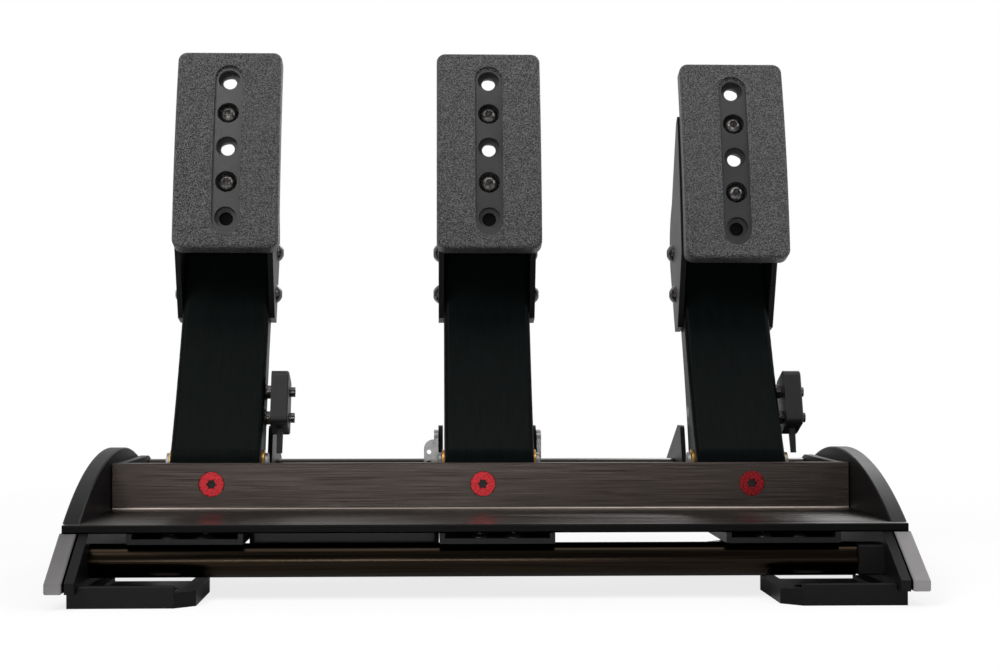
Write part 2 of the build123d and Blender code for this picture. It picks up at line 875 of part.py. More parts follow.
def make_pad_bracket(place, drop, shift):
    """A folded bracket: a web behind the pad and two deep side plates outside the arm."""
    def at(shares):
        return pad_point(shares[0] * pad_length, shares[1] * bracket_depth)

    web_low, web_high = (share * pad_length for share in bracket_web_shares)
    back = pad_thickness
    web_foot = pad_point(web_low, pad_surface(web_low, back))
    web_head = pad_point(web_high, pad_surface(web_high, back))
    web_mid = pad_point(
        (web_low + web_high) / 2, pad_surface((web_low + web_high) / 2, back)
    )
    front_low, rear_low = (at(shares) for shares in bracket_tip_shares)
    rear_points = [at(shares) for shares in bracket_rear_shares]
    crown = pad_point(
        bracket_crown_share * pad_length,
        pad_surface(bracket_crown_share * pad_length, back) + bracket_wall * 2,
    )
    edges = (
        Polyline(web_foot, front_low, rear_low, rear_points[0])
        + ThreePointArc(*rear_points)
        + Polyline(rear_points[2], crown, web_head)
        + ThreePointArc(web_head, web_mid, web_foot)
    )
    bracket = slab(make_face(edges), place - bracket_half, place + bracket_half)
    hollow_face = pad_band(back + bracket_wall, back + bracket_depth * 2, -pad_length, pad_length)
    hollow = slab(hollow_face, place - arm_half, place + arm_half)
    bracket -= hollow
    neck = slab(
        make_face(Polyline(*neck_region(web_foot), close=True)), place - arm_half, place + arm_half
    )
    bracket -= neck
    for up in pad_screw_rises:
        hole = pad_hole_plane(place + shift, up)
        bracket -= rod(hole, m6_shank / 2 + screw_clearance, -bracket_depth, 0)
    bracket -= rod(pad_hole_plane(place + shift, 0), bracket_spare_hole / 2, -bracket_depth, 0)
    bracket = Pos(0, 0, -drop) * bracket
    for spot in bracket_screw_places:
        bracket -= bar_x(
            spot, m6_shank / 2 + screw_clearance, place - bracket_half - overrun,
            place + bracket_half + overrun,
        )
    return bracket


def neck_region(web_foot):
    """The open space below the web, between the bracket's side plates."""
    reach = base_width
    return (
        (web_foot[0] - reach, web_foot[1]),
        (web_foot[0] + reach, web_foot[1]),
        (web_foot[0] + reach, web_foot[1] - reach),
        (web_foot[0] - reach, web_foot[1] - reach),
    )


def side_plane(spot, x, side):
    """A plane on a side wall, looking outwards."""
    return Plane((x, *spot), x_dir=(0, 1, 0), z_dir=(side, 0, 0))


def make_bracket_screws(place):
    """Two button-head screws on each side of the pad bracket."""
    screws = []
    for side in (-1, 1):
        for spot in bracket_screw_places:
            plane = side_plane(spot, place + side * bracket_half, side)
            length = bracket_wall + arm_wall + m6_shank / 2
            screws.append(
                button_screw(plane, m6_head, m6_head_height, m6_shank, m6_socket, length)
            )
    return screws


# Base of each pedal

def channel_outline():
    """Side view of a pedal channel: low under the ledge, tall behind the arm."""
    top_end = channel_top_start + channel_top_length
    points = Polyline(
        (-channel_front_reach, channel_web_height),
        (-channel_front_reach, channel_low_height),
        (channel_rise_start, channel_low_height),
        (channel_top_start, channel_top_height),
        (top_end, channel_top_height),
        (channel_rear_reach, channel_rear_height),
        (channel_rear_reach, channel_web_height),
        close=True,
    )
    return make_face(points)


def make_channel(place):
    """A folded channel on both tubes, with a window in its floor."""
    left = place - wall_outer
    right = place + wall_outer
    channel = slab(channel_outline(), left, right)
    top_edges = channel.edges().filter_by(Axis.X).filter_by(
        lambda edge: edge.center().Z > channel_low_height + overrun
    )
    channel = fillet(top_edges, channel_corner)
    channel -= block(
        (place - wall_inner, place + wall_inner),
        (-base_width, base_width),
        (web_top, base_width),
    )
    window = RectangleRounded(channel_window_width, channel_window_length, channel_corner)
    window_setback = (pivot_setback + ear_rear_reach + channel_rear_reach) / 2
    channel -= extrude(Pos(place, window_setback) * window, amount=base_width)
    channel -= bar_x(tube_places[1], tube_radius + tube_fit, left - overrun, right + overrun)
    for spot in channel_screw_spots(place):
        channel -= Pos(*spot) * Cylinder(m5_shank / 2 + screw_clearance, base_width)
    return channel


def channel_screw_spots(place):
    """Plan-view places of a channel's screws: over the front tube and in its floor."""
    return tuple(
        (place + side * channel_screw_inset / 2, -front_tube_setback) for side in (-1, 1)
    )


def ear_screw_spots(place):
    """Plan-view places of the pivot bracket's screws."""
    return tuple(
        (place + side * channel_screw_inset / 2, pivot_setback) for side in (-1, 1)
    )


def make_pivot_bracket(place):
    """A folded bracket whose two ears stand inside the arm and hold the pivot pin."""
    front_y = pivot_setback - ear_front_reach
    rear_y = pivot_setback + ear_rear_reach
    rear_lean = atan2(ear_rear_reach, pivot_height - web_top)
    rear_tangent = (
        pivot[0] + ear_radius * cos(rear_lean / 2),
        pivot[1] + ear_radius * sin(rear_lean / 2),
    )
    profile = (
        Polyline((front_y, pivot[1]), (front_y, web_top), (rear_y, web_top), rear_tangent)
        + ThreePointArc(rear_tangent, (pivot[0], pivot[1] + ear_radius), (front_y, pivot[1]))
    )
    bracket = slab(make_face(profile), place - ear_outer, place + ear_outer)
    bracket -= block(
        (place - ear_outer + ear_wall, place + ear_outer - ear_wall),
        (-base_width, base_width),
        (web_top + ear_wall, base_width),
    )
    bracket -= bar_x(pivot, pivot_pin_diameter / 2, place - base_width, place + base_width)
    for spot in ear_screw_spots(place):
        bracket -= Pos(*spot) * Cylinder(m5_shank / 2 + screw_clearance, base_width)
    return bracket


# Strut: plunger on the arm, spring and seat on the rear tube

strut_reach = dist(strut_pin_place, tube_places[1])


def strut_plane(place):
    """At the strut pin, looking down the strut towards the rear tube."""
    run = tube_places[1][0] - strut_pin_place[0]
    rise = tube_places[1][1] - strut_pin_place[1]
    return Plane((place, *strut_pin_place), x_dir=(1, 0, 0), z_dir=(0, run, rise))


def make_plunger(place):
    """The plunger: an eye on the strut pin, a spring collar and a sliding sleeve."""
    plane = strut_plane(place)
    half = strut_eye_width / 2
    eye = bar_x(strut_pin_place, strut_eye_radius, place - half, place + half)
    neck = rod(plane, sleeve_radius, 0, strut_collar_start) & block(
        (place - half, place + half), (-base_width, base_width), (-base_width, base_width)
    )
    collar = rod(plane, strut_collar_radius, strut_collar_start, strut_collar_end)
    sleeve = rod(plane, sleeve_radius, strut_collar_end, sleeve_end)
    plunger = eye + neck + collar + sleeve
    plunger -= rod(plane, guide_radius + guide_bore_gap, guide_bore_start, base_width)
    bore = strut_pin_diameter / 2 + pivot_fit
    return plunger - bar_x(strut_pin_place, bore, place - base_width, place + base_width)


def make_strut_pin(place):
    """The pin that carries the plunger, flush with the arm's flanges."""
    return bar_x(strut_pin_place, strut_pin_diameter / 2, place - arm_half, place + arm_half)


def make_spring_seat(place, front):
    """A saddle clamped on the rear tube, with a spring seat and a guide pin."""
    plane = strut_plane(place)
    half = saddle_width / 2
    saddle = bar_x(tube_places[1], saddle_radius, place - half, place + half)
    neck = rod(plane, guide_radius * 2, front + seat_thickness, strut_reach)
    disc = rod(plane, seat_radius, front, front + seat_thickness)
    guide = rod(plane, guide_radius, guide_tip, front)
    seat = saddle + neck + disc
    seat -= bar_x(tube_places[1], tube_radius + tube_fit, place - base_width, place + base_width)
    return seat + guide


def make_load_cell(place):
    """A button load cell round the guide, with a raised rim."""
    plane = strut_plane(place)
    start = seat_distance - load_cell_thickness
    cell = rod(plane, load_cell_radius, start, seat_distance)
    ring = rod(plane, load_cell_radius, start, start + load_cell_rim)
    ring -= rod(plane, load_cell_radius - load_cell_rim, start - overrun, seat_distance)
    return cell + ring - rod(plane, guide_radius + guide_bore_gap, 0, base_width)


def helix_point(turn, rise, radius, slack):
    """A point and its direction on a coil that starts at slack and climbs by rise."""
    angle = 2 * pi * turn
    climb = rise / (2 * pi)
    point = Vector(radius * cos(angle), radius * sin(angle), slack + climb * angle)
    heading = Vector(-radius * sin(angle), radius * cos(angle), climb).normalized()
    return point, heading


def coil_path(turns, rise, radius, slack):
    """One smooth line of arc pairs, a quarter turn each."""
    edges = []
    quarter_share = 0.25
    for index in range(int(turns / quarter_share)):
        start, start_way = helix_point(index * quarter_share, rise, radius, slack)
        end, end_way = helix_point((index + 1) * quarter_share, rise, radius, slack)
        gap = end - start
        ways = start_way + end_way
        square = ways.dot(ways) - 4
        middle = gap.dot(ways)
        step = (middle - sqrt(middle ** 2 - square * gap.dot(gap))) / square
        joint = (start + start_way * step + end - end_way * step) * midway
        edges.append(Edge.make_tangent_arc(start, start_way, joint))
        joint_way = (end - end_way * step - start - start_way * step).normalized()
        edges.append(Edge.make_tangent_arc(joint, joint_way, end))
    return Wire(edges)


def make_coil_spring(place):
    """One unbroken coil between the plunger's collar and the seat."""
    plane = strut_plane(place)
    room = seat_distance - strut_collar_end - 2 * spring_end_gap - spring_wire
    rise = room / spring_turns
    start = strut_collar_end + spring_end_gap + spring_wire / 2
    path = coil_path(spring_turns, rise, spring_radius, start)
    first, way = helix_point(0, rise, spring_radius, start)
    coil = sweep(Plane(first, z_dir=way) * Circle(spring_wire / 2), path=path)
    print_coil_gap(rise)
    return plane.location * coil


def print_coil_gap(rise):
    """Measure the least gap between neighbouring turns on points along the line."""
    steps = 24
    least = base_width
    first = [helix_point(index / steps, rise, spring_radius, 0)[0] for index in range(steps)]
    for index in range(steps):
        for other in range(steps):
            turn = 1 + (index + other - steps / 2) / steps
            point = helix_point(turn, rise, spring_radius, 0)[0]
            if turn - index / steps > midway:
                least = min(least, (point - first[index]).length)
    print("least coil gap", round(least - spring_wire, 2), "wanted over", spring_minimum_gap)


def make_bumper(place):
    """The brake's ribbed elastomer bumper between the collar and the load cell."""
    plane = strut_plane(place)
    start = strut_collar_end + bumper_end_gap
    end = seat_distance - load_cell_thickness - bumper_end_gap
    bore = sleeve_radius + 2 * bumper_end_gap
    bumper = rod(plane, bumper_radius, start, end) - rod(plane, bore, 0, base_width)
    pitch = (end - start) / bumper_ring_count
    for index in range(1, bumper_ring_count):
        ring_plane = plane.offset(start + index * pitch)
        centre = Pos(bumper_radius, 0) * Circle(bumper_groove)
        profile = Plane(ring_plane.origin, x_dir=ring_plane.x_dir, z_dir=ring_plane.y_dir) * centre
        bumper -= revolve(profile, axis=Axis(ring_plane.origin, ring_plane.z_dir))
    return bumper


def make_brake_yoke(place):
    """A zinc plated yoke outside the brake channel, with a rounded tab on its left."""
    outer = wall_outer + yoke_wall
    y_range = (yoke_front_reach, yoke_front_reach + yoke_length)
    halves = []
    for side in (-1, 1):
        x_range = sorted((place + side * wall_outer, place + side * outer))
        wall = block(x_range, y_range, (yoke_foot_height, yoke_top_height))
        crown = wall.edges().filter_by(Axis.X).group_by(Axis.Z)[-1]
        halves.append(fillet(crown, yoke_corner))
    tab_top = yoke_top_height - yoke_corner
    tab = block(
        (place - outer - yoke_tab_width, place - outer),
        (yoke_front_reach, yoke_front_reach + yoke_wall),
        (tab_top - yoke_tab_height, tab_top),
    )
    corner = tab.edges().filter_by(Axis.Y).group_by(Axis.X)[0].sort_by(Axis.Z)[-1]
    tab = fillet(corner, yoke_corner)
    for share in yoke_hole_shares:
        spot = (place - outer - yoke_tab_width / 2, yoke_front_reach, tab_top - share * yoke_tab_height)
        hole = Plane(spot, x_dir=(1, 0, 0), z_dir=(0, -1, 0))
        tab -= rod(hole, yoke_tab_hole / 2, -base_width, base_width)
    halves[0] += tab
    return group(halves)


# Sensor housings

sensor_start = arm_half + sensor_gap
sensor_screw_shares = (0.22, 0.70)
sensor_mid_share = midway


def sensor_spot(share):
    """The side-view place of a sensor screw, at a share of the housing's height."""
    lean = radians(sensor_lean)
    return (
        sensor_setback + share * sensor_height * sin(lean) + sensor_length / 2,
        sensor_bottom_height + share * sensor_height * cos(lean),
    )


def make_sensor_housing(place):
    """A rounded block that leans with the arm, with a thin tongue at its foot."""
    lean = radians(sensor_lean)
    centre = sensor_spot(sensor_mid_share)
    shape = Pos(*centre) * Rot(0, 0, -sensor_lean) * RectangleRounded(
        sensor_length, sensor_height, sensor_corner
    )
    start = place + sensor_start
    housing = slab(shape, start, start + sensor_width)
    housing = chamfer(housing.faces().sort_by(Axis.X)[-1].edges(), edge_break)
    tip = (
        centre[0] - (sensor_height / 2 + sensor_tongue_length) * sin(lean),
        centre[1] - (sensor_height / 2 + sensor_tongue_length) * cos(lean),
    )
    shift = sensor_tongue_width / 2
    tongue_face = make_face(
        Polyline(
            (centre[0] - shift, centre[1]), tip, (centre[0] + shift, centre[1]), close=True
        )
    )
    tongue = slab(tongue_face, *(start + share * sensor_width for share in sensor_tongue_shares))
    return housing + tongue


def make_sensor_screws(place):
    """Two small cap screws with spacers that stand the housing off the arm."""
    screws = []
    for share in sensor_screw_shares:
        spot = sensor_spot(share)
        plane = side_plane(spot, place + sensor_start + sensor_width, 1)
        length = sensor_width + sensor_gap + arm_wall
        screw = socket_screw(plane, m3_head, m3_head_height, m3_shank, m3_socket, length)
        spacer = bar_x(spot, m3_shank, place + arm_half, place + sensor_start)
        screws.append(screw + spacer)
    return screws


# The three pedals

def add_pedal(name, place, seat_front):
    """All nodes that every pedal has."""
    nodes[name + "_base_channel"] = make_channel(place)
    nodes[name + "_pivot_bracket"] = make_pivot_bracket(place)
    nodes[name + "_pivot_pin"] = make_pivot_pin(place)
    nodes[name + "_pivot_bushes"] = make_bushes(place)
    nodes[name + "_arm"] = make_arm(place)
    drop = pad_drops[name]
    shift = pad_shifts[name]
    nodes[name + "_pad_bracket"] = make_pad_bracket(place, drop, shift)
    nodes[name + "_pad"] = Pos(0, 0, -drop) * make_pad(place + shift)
    nodes[name + "_pad_screws"] = make_pad_screws(place + shift, drop)
    nodes[name + "_strut_pin"] = make_strut_pin(place)
    nodes[name + "_plunger"] = make_plunger(place)
    nodes[name + "_spring_seat"] = make_spring_seat(place, seat_front)


pedals = {"clutch": clutch_place, "brake": brake_place, "throttle": throttle_place}
channel_screws = []
for name, place in pedals.items():
    add_pedal(name, place, seat_distance)
    side_screws = make_bracket_screws(place)
    if name == "brake":
        nodes["brake_bumper"] = make_bumper(place)
        nodes["brake_load_cell"] = make_load_cell(place)
        nodes["brake_yoke"] = make_brake_yoke(place)
    else:
        nodes[name + "_spring"] = make_coil_spring(place)
        nodes[name + "_sensor_housing"] = make_sensor_housing(place)
        side_screws += make_sensor_screws(place)
        for share in sensor_screw_shares:
            bore = bar_x(sensor_spot(share), m3_shank / 2, place, place + half_width)
            nodes[name + "_sensor_housing"] -= bore
            nodes[name + "_arm"] -= bore
    nodes[name + "_side_screws"] = group(side_screws)
    seats = ((channel_screw_spots(place), web_top), (ear_screw_spots(place), web_top + ear_wall))
    for spots, seat in seats:
        for spot in spots:
            plane = Plane((*spot, seat), x_dir=(1, 0, 0), z_dir=(0, 0, 1))
            length = seat - channel_web_height + tube_wall
            screw = button_screw(plane, m5_head, low_head_height, m5_shank, m5_socket, length)
            channel_screws.append(screw)
    for spot in channel_screw_spots(place):
        nodes["front_tube"] -= Pos(*spot, channel_web_height) * Cylinder(m5_shank / 2, tube_diameter)
    for spot in ear_screw_spots(place):
        nodes[name + "_base_channel"] -= Pos(*spot) * Cylinder(m5_shank / 2, base_width)
nodes["channel_screws"] = group(channel_screws)

for name, shape in nodes.items():
    export_step(shape, "parts/" + name + ".step")
print(len(nodes), "nodes")
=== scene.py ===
import json
import math

import bmesh
import bpy
from mathutils import Matrix, Vector


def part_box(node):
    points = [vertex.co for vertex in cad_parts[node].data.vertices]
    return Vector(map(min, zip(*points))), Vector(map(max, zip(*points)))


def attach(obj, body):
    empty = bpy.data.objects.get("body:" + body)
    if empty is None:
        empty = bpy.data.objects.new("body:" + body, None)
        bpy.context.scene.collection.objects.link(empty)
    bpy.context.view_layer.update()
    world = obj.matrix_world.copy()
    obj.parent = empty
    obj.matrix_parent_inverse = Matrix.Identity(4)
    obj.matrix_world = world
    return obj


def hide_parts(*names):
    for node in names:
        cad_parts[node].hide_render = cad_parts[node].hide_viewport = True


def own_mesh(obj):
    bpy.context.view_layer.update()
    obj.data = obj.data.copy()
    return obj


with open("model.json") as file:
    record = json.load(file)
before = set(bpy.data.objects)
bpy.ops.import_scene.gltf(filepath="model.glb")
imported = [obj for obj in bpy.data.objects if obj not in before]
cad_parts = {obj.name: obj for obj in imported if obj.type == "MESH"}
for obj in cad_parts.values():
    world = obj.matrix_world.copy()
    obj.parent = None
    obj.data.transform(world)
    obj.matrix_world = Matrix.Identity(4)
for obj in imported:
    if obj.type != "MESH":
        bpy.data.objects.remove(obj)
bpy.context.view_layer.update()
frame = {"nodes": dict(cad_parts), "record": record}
MM = 0.001


# Camera: near level, slightly left of the middle, looking up by a degree

def make_camera():
    data = bpy.data.cameras.new("camera")
    data.lens = 68.7
    data.sensor_width = 36
    camera = bpy.data.objects.new("camera", data)
    camera.location = Vector((-26.5, -992.3, 109.6)) * MM
    camera.rotation_euler = (math.radians(90.97), 0, math.radians(-2.04))
    bpy.context.collection.objects.link(camera)
    bpy.context.scene.camera = camera


make_camera()


# Tools for materials

def linear(hex_colour):
    """A colour written as sRGB hex, as the linear values that Blender wants."""
    shares = [int(hex_colour[i:i + 2], 16) / 255 for i in (1, 3, 5)]
    return [c / 12.92 if c <= 0.04045 else ((c + 0.055) / 1.055) ** 2.4 for c in shares] + [1]


def add(tree, kind, inputs=(), **settings):
    """A node with its settings, and its inputs set, or linked to a socket or to a node's output."""
    node = tree.nodes.new(kind)
    for name, value in settings.items():
        setattr(node, name, value)
    usable = [socket for socket in node.inputs if socket.enabled]
    for name, value in dict(inputs).items():
        socket = usable[name] if isinstance(name, int) else next(s for s in usable if s.name == name)
        if isinstance(value, bpy.types.Node):
            value = next(output for output in value.outputs if output.enabled)
        if isinstance(value, bpy.types.NodeSocket):
            tree.links.new(value, socket)
        else:
            socket.default_value = value
    return node


def new_material(name):
    """An empty node material, its tree, and the socket for places on the object."""
    material = bpy.data.materials.new(name)
    material.use_nodes = True
    tree = material.node_tree
    tree.nodes.clear()
    return material, tree, add(tree, "ShaderNodeTexCoord").outputs["Object"]


def repeats(*sizes):
    """How many times a pattern of one size, or of one size per axis, in millimetres fits in a metre."""
    counts = [1 / (size * MM) for size in sizes]
    return counts if len(counts) > 1 else counts[0]


def where(tree, *tests):
    """A mask that is 1 where all tests of a value against a limit hold, and 0 elsewhere."""
    masks = [
        add(tree, "ShaderNodeMath", {0: value, 1: limit}, operation=comparison)
        for value, comparison, limit in tests
    ]
    mask = masks[0]
    for other in masks[1:]:
        mask = add(tree, "ShaderNodeMath", {0: mask, 1: other}, operation="MULTIPLY")
    return mask


NOISE_SPAN = {"From Min": 0.3, "From Max": 0.7}  # nearly all values of a noise lie in here


def finish_surface(tree, coats, roughness, relief, inputs=()):
    """What all finishes share: coats of colour, a roughness that drifts, and softened edges.

    coats: one or more of (mask, pattern, dark shade, light shade), each over the one before
    roughness: pattern, smoothest, roughest
    relief: pattern, its depth, its strength, and the radius that edges seem to have, in millimetres
    """
    skin = None
    for mask, pattern, dark, light in coats:
        drift = add(tree, "ShaderNodeMapRange", {"Value": pattern, **NOISE_SPAN})
        coat = add(tree, "ShaderNodeMix", {
            "Factor": drift, "A": linear(dark), "B": linear(light),
        }, data_type="RGBA")
        if mask is not None:
            coat = add(tree, "ShaderNodeMix", {"Factor": mask, "A": skin, "B": coat}, data_type="RGBA")
        skin = coat
    pattern, smoothest, roughest = roughness
    sheen = add(tree, "ShaderNodeMapRange", {
        "Value": pattern, **NOISE_SPAN, "To Min": smoothest, "To Max": roughest,
    })
    pattern, depth, strength, edge = relief
    rounded = add(tree, "ShaderNodeBevel", {"Radius": edge * MM}, samples=4)
    bumps = add(tree, "ShaderNodeBump", {
        "Height": pattern, "Distance": depth * MM, "Strength": strength, "Normal": rounded,
    })
    shader = add(tree, "ShaderNodeBsdfPrincipled", {
        "Base Color": skin, "Roughness": sheen, "Normal": bumps, **dict(inputs),
    })
    add(tree, "ShaderNodeOutputMaterial", {"Surface": shader})


# Materials. Grain and hairlines that are really about 0.1 mm fine are drawn at 0.4 mm, so that they show

def anodised_aluminium_satin():
    """Bead-blasted and anodised: a dark matt grain, with a painted highlight that lightens the front
    faces of the legs below the ledge.
    """
    material, tree, here = new_material("anodised_aluminium_satin")
    grain = add(tree, "ShaderNodeTexNoise", {"Vector": here, "Scale": repeats(0.4), "Detail": 2.0})
    cloud = add(tree, "ShaderNodeTexNoise", {"Vector": here, "Scale": repeats(71.4), "Detail": 4.0})
    spot = add(tree, "ShaderNodeSeparateXYZ", {"Vector": here})
    facing = add(tree, "ShaderNodeSeparateXYZ", {"Vector": here.node.outputs["Normal"]})
    side = add(tree, "ShaderNodeMath", {0: spot.outputs["X"]}, operation="ABSOLUTE")
    margin = 0.5 * MM
    facing_front = -0.3  # the most that a normal's Y may be
    ledge_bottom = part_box("heel_plate")[0].z
    cheek_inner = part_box("right_cheek")[0].x
    # Painted highlight: forward-facing faces of the legs below the ledge get a lighter coat, standing in
    # for light falling on them
    painted_front_highlight = where(
        tree,
        (spot.outputs["Z"], "LESS_THAN", ledge_bottom + margin),
        (facing.outputs["Y"], "LESS_THAN", facing_front),
        (side, "GREATER_THAN", cheek_inner - margin),
    )
    finish_surface(
        tree,
        coats=[(None, cloud, "#0a0a0b", "#121213"), (painted_front_highlight, cloud, "#5c5a5b", "#858384")],
        roughness=(cloud, 0.40, 0.50),
        relief=(grain, 0.02, 0.5, 0.35),
        inputs={"Metallic": 0.1, "Specular IOR Level": 0.08},
    )
    return material


def anodised_tube_polished():
    """Drawn tube, polished along its length and anodised: near black, warm where light catches it."""
    material, tree, here = new_material("anodised_tube_polished")
    along = add(tree, "ShaderNodeMapping", {"Vector": here, "Scale": repeats(71.4, 0.667, 0.667)})
    lines = add(tree, "ShaderNodeTexNoise", {"Vector": along, "Scale": 1.0, "Detail": 3.0})
    finish_surface(
        tree,
        coats=[(None, lines, "#14110d", "#261f18")],
        roughness=(lines, 0.18, 0.24),
        relief=(lines, 0.008, 0.4, 0.3),
        inputs={"Metallic": 1.0},
    )
    return material


def anodised_aluminium_brushed():
    """Brushed along its length, then anodised: fine streaks with a warm grey sheen.

    The ledge's front edge is near black, and a painted highlight lightens the bend behind the ledge.
    """
    material, tree, here = new_material("anodised_aluminium_brushed")
    along = add(tree, "ShaderNodeMapping", {"Vector": here, "Scale": repeats(45.5, 0.385, 0.385)})
    streaks = add(tree, "ShaderNodeTexNoise", {
        "Vector": along, "Scale": 1.0, "Detail": 5.0, "Roughness": 0.7,
    })
    wide = add(tree, "ShaderNodeMapping", {"Vector": here, "Scale": repeats(250, 3.85, 3.85)})
    broad = add(tree, "ShaderNodeTexNoise", {"Vector": wide, "Scale": 1.0, "Detail": 3.0})
    low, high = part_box("heel_plate")
    thickness = high.y  # the upright face's front is at Y = 0
    ledge_top = low.z + thickness
    edge_depth, highlight_height, highlight_depth = 0.7 * MM, 1.1 * MM, 1.8 * MM
    spot = add(tree, "ShaderNodeSeparateXYZ", {"Vector": here})
    front = where(tree, (spot.outputs["Y"], "LESS_THAN", low.y + edge_depth))
    # Painted highlight: a lighter band along the bend where the ledge meets the upright face
    painted_bend_highlight = where(
        tree,
        (spot.outputs["Z"], "LESS_THAN", ledge_top + highlight_height),
        (spot.outputs["Y"], "GREATER_THAN", -highlight_depth),
    )
    finish_surface(
        tree,
        coats=[
            (None, streaks, "#0b0908", "#453e3a"),
            (painted_bend_highlight, broad, "#3a3430", "#a3978f"),
            (front, broad, "#070707", "#070707"),
        ],
        roughness=(broad, 0.24, 0.36),
        relief=(streaks, 0.03, 0.6, 0.35),
        inputs={"Metallic": 0.85, "Specular IOR Level": 0.2, "Anisotropic": 0.6},
    )
    return material


def anodised_aluminium_red():
    """Turned and anodised red: a clear saturated red over bright metal, with tool marks."""
    material, tree, here = new_material("anodised_aluminium_red")
    marks = add(tree, "ShaderNodeTexNoise", {"Vector": here, "Scale": repeats(1.11), "Detail": 2.0})
    finish_surface(
        tree,
        coats=[(None, marks, "#590b10", "#8c1f24")],
        roughness=(marks, 0.22, 0.34),
        relief=(marks, 0.01, 0.4, 0.25),
        inputs={"Metallic": 0.9},
    )
    return material


def brushed_arm_black():
    """The arms, brushed lengthwise and finished deep black: fine upright hairlines, one soft sheen."""
    material, tree, here = new_material("brushed_arm_black")
    upright = add(tree, "ShaderNodeMapping", {"Vector": here, "Scale": repeats(0.455, 16.7, 16.7)})
    lines = add(tree, "ShaderNodeTexNoise", {
        "Vector": upright, "Scale": 1.0, "Detail": 4.0, "Roughness": 0.65,
    })
    cloud = add(tree, "ShaderNodeTexNoise", {"Vector": here, "Scale": repeats(50), "Detail": 3.0})
    finish_surface(
        tree,
        coats=[(None, lines, "#040606", "#0b0f0f")],
        roughness=(cloud, 0.30, 0.38),
        relief=(lines, 0.015, 0.5, 0.5),
        inputs={"IOR": 1.45, "Specular IOR Level": 0.03},
    )
    return material


def powder_coated_steel(name, dark, light):
    """Folded steel with a satin powder coat: black with a fine even stipple."""
    material, tree, here = new_material(name)
    stipple = add(tree, "ShaderNodeTexNoise", {"Vector": here, "Scale": repeats(0.77), "Detail": 1.0})
    cloud = add(tree, "ShaderNodeTexNoise", {"Vector": here, "Scale": repeats(62.5), "Detail": 3.0})
    finish_surface(
        tree,
        coats=[(None, cloud, dark, light)],
        roughness=(cloud, 0.38, 0.47),
        relief=(stipple, 0.04, 0.5, 0.4),
        inputs={"IOR": 1.5, "Specular IOR Level": 0.12},
    )
    return material


def pad_slots(tree, here):
    """1 inside the smooth round-ended slot of each pad, and 0 elsewhere."""
    half_width, straight_half = 7.6 * MM, 39.6 * MM
    total = 0.0
    for pedal in ("clutch", "brake", "throttle"):
        low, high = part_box(pedal + "_pad")
        offset = add(tree, "ShaderNodeVectorMath", {0: here, 1: (low + high) / 2}, operation="SUBTRACT")
        spot = add(tree, "ShaderNodeSeparateXYZ", {"Vector": offset})
        rise = add(tree, "ShaderNodeMath", {0: spot.outputs["Z"]}, operation="ABSOLUTE")
        past = add(tree, "ShaderNodeMath", {0: rise, 1: straight_half}, operation="SUBTRACT")
        past = add(tree, "ShaderNodeMath", {0: past, 1: 0.0}, operation="MAXIMUM")
        flat = add(tree, "ShaderNodeCombineXYZ", {"X": spot.outputs["X"], "Z": past})
        away = add(tree, "ShaderNodeVectorMath", {0: flat}, operation="LENGTH")
        inside = where(tree, (away, "LESS_THAN", half_width))
        total = add(tree, "ShaderNodeMath", {0: inside, 1: total}, operation="ADD")
    return total


def moulded_nylon_grained():
    """Glass-filled nylon off a spark-eroded tool: dark grey, a leathery grain round a smooth slot.

    The real grain is about 0.7 mm, and its cells are drawn at about 1.2 mm so that they show.
    """
    material, tree, here = new_material("moulded_nylon_grained")
    cells = add(tree, "ShaderNodeTexVoronoi", {
        "Vector": here, "Scale": repeats(1.176),
    }, feature="DISTANCE_TO_EDGE")
    fine = add(tree, "ShaderNodeTexNoise", {"Vector": here, "Scale": repeats(0.769), "Detail": 2.0})
    grain = add(tree, "ShaderNodeMath", {0: cells, 1: fine}, operation="ADD")
    cloud = add(tree, "ShaderNodeTexNoise", {"Vector": here, "Scale": repeats(33.3), "Detail": 3.0})
    contrast, slot_relief = 5.0, 0.15
    speckle = add(tree, "ShaderNodeMath", {
        0: fine, 1: contrast, 2: (1 - contrast) / 2,
    }, operation="MULTIPLY_ADD")
    slots = pad_slots(tree, here)
    strength = add(tree, "ShaderNodeMapRange", {"Value": slots, "To Min": 1.0, "To Max": slot_relief})
    finish_surface(
        tree,
        coats=[(None, speckle, "#050505", "#4a4a4b"), (slots, cloud, "#1b1b1c", "#232324")],
        roughness=(cloud, 0.36, 0.46),
        relief=(grain, 0.9, strength, 0.3),
        inputs={"IOR": 1.53},
    )
    return material


def moulded_plastic_matt():
    """Moulded ABS: plain black with a light texture."""
    material, tree, here = new_material("moulded_plastic_matt")
    grain = add(tree, "ShaderNodeTexNoise", {"Vector": here, "Scale": repeats(0.556), "Detail": 2.0})
    finish_surface(
        tree,
        coats=[(None, grain, "#101011", "#19191a")],
        roughness=(grain, 0.42, 0.52),
        relief=(grain, 0.05, 0.6, 0.3),
        inputs={"IOR": 1.54, "Specular IOR Level": 0.25},
    )
    return material


def blackened_steel():
    """Machine screws in black oxide: dark brown-black with shinier high spots of wear."""
    material, tree, here = new_material("blackened_steel")
    wear = add(tree, "ShaderNodeTexNoise", {"Vector": here, "Scale": repeats(1.43), "Detail": 3.0})
    finish_surface(
        tree,
        coats=[(None, wear, "#2e2d2d", "#6a6865")],
        roughness=(wear, 0.18, 0.30),
        relief=(wear, 0.02, 0.4, 0.3),
        inputs={"Metallic": 0.9},
    )
    return material


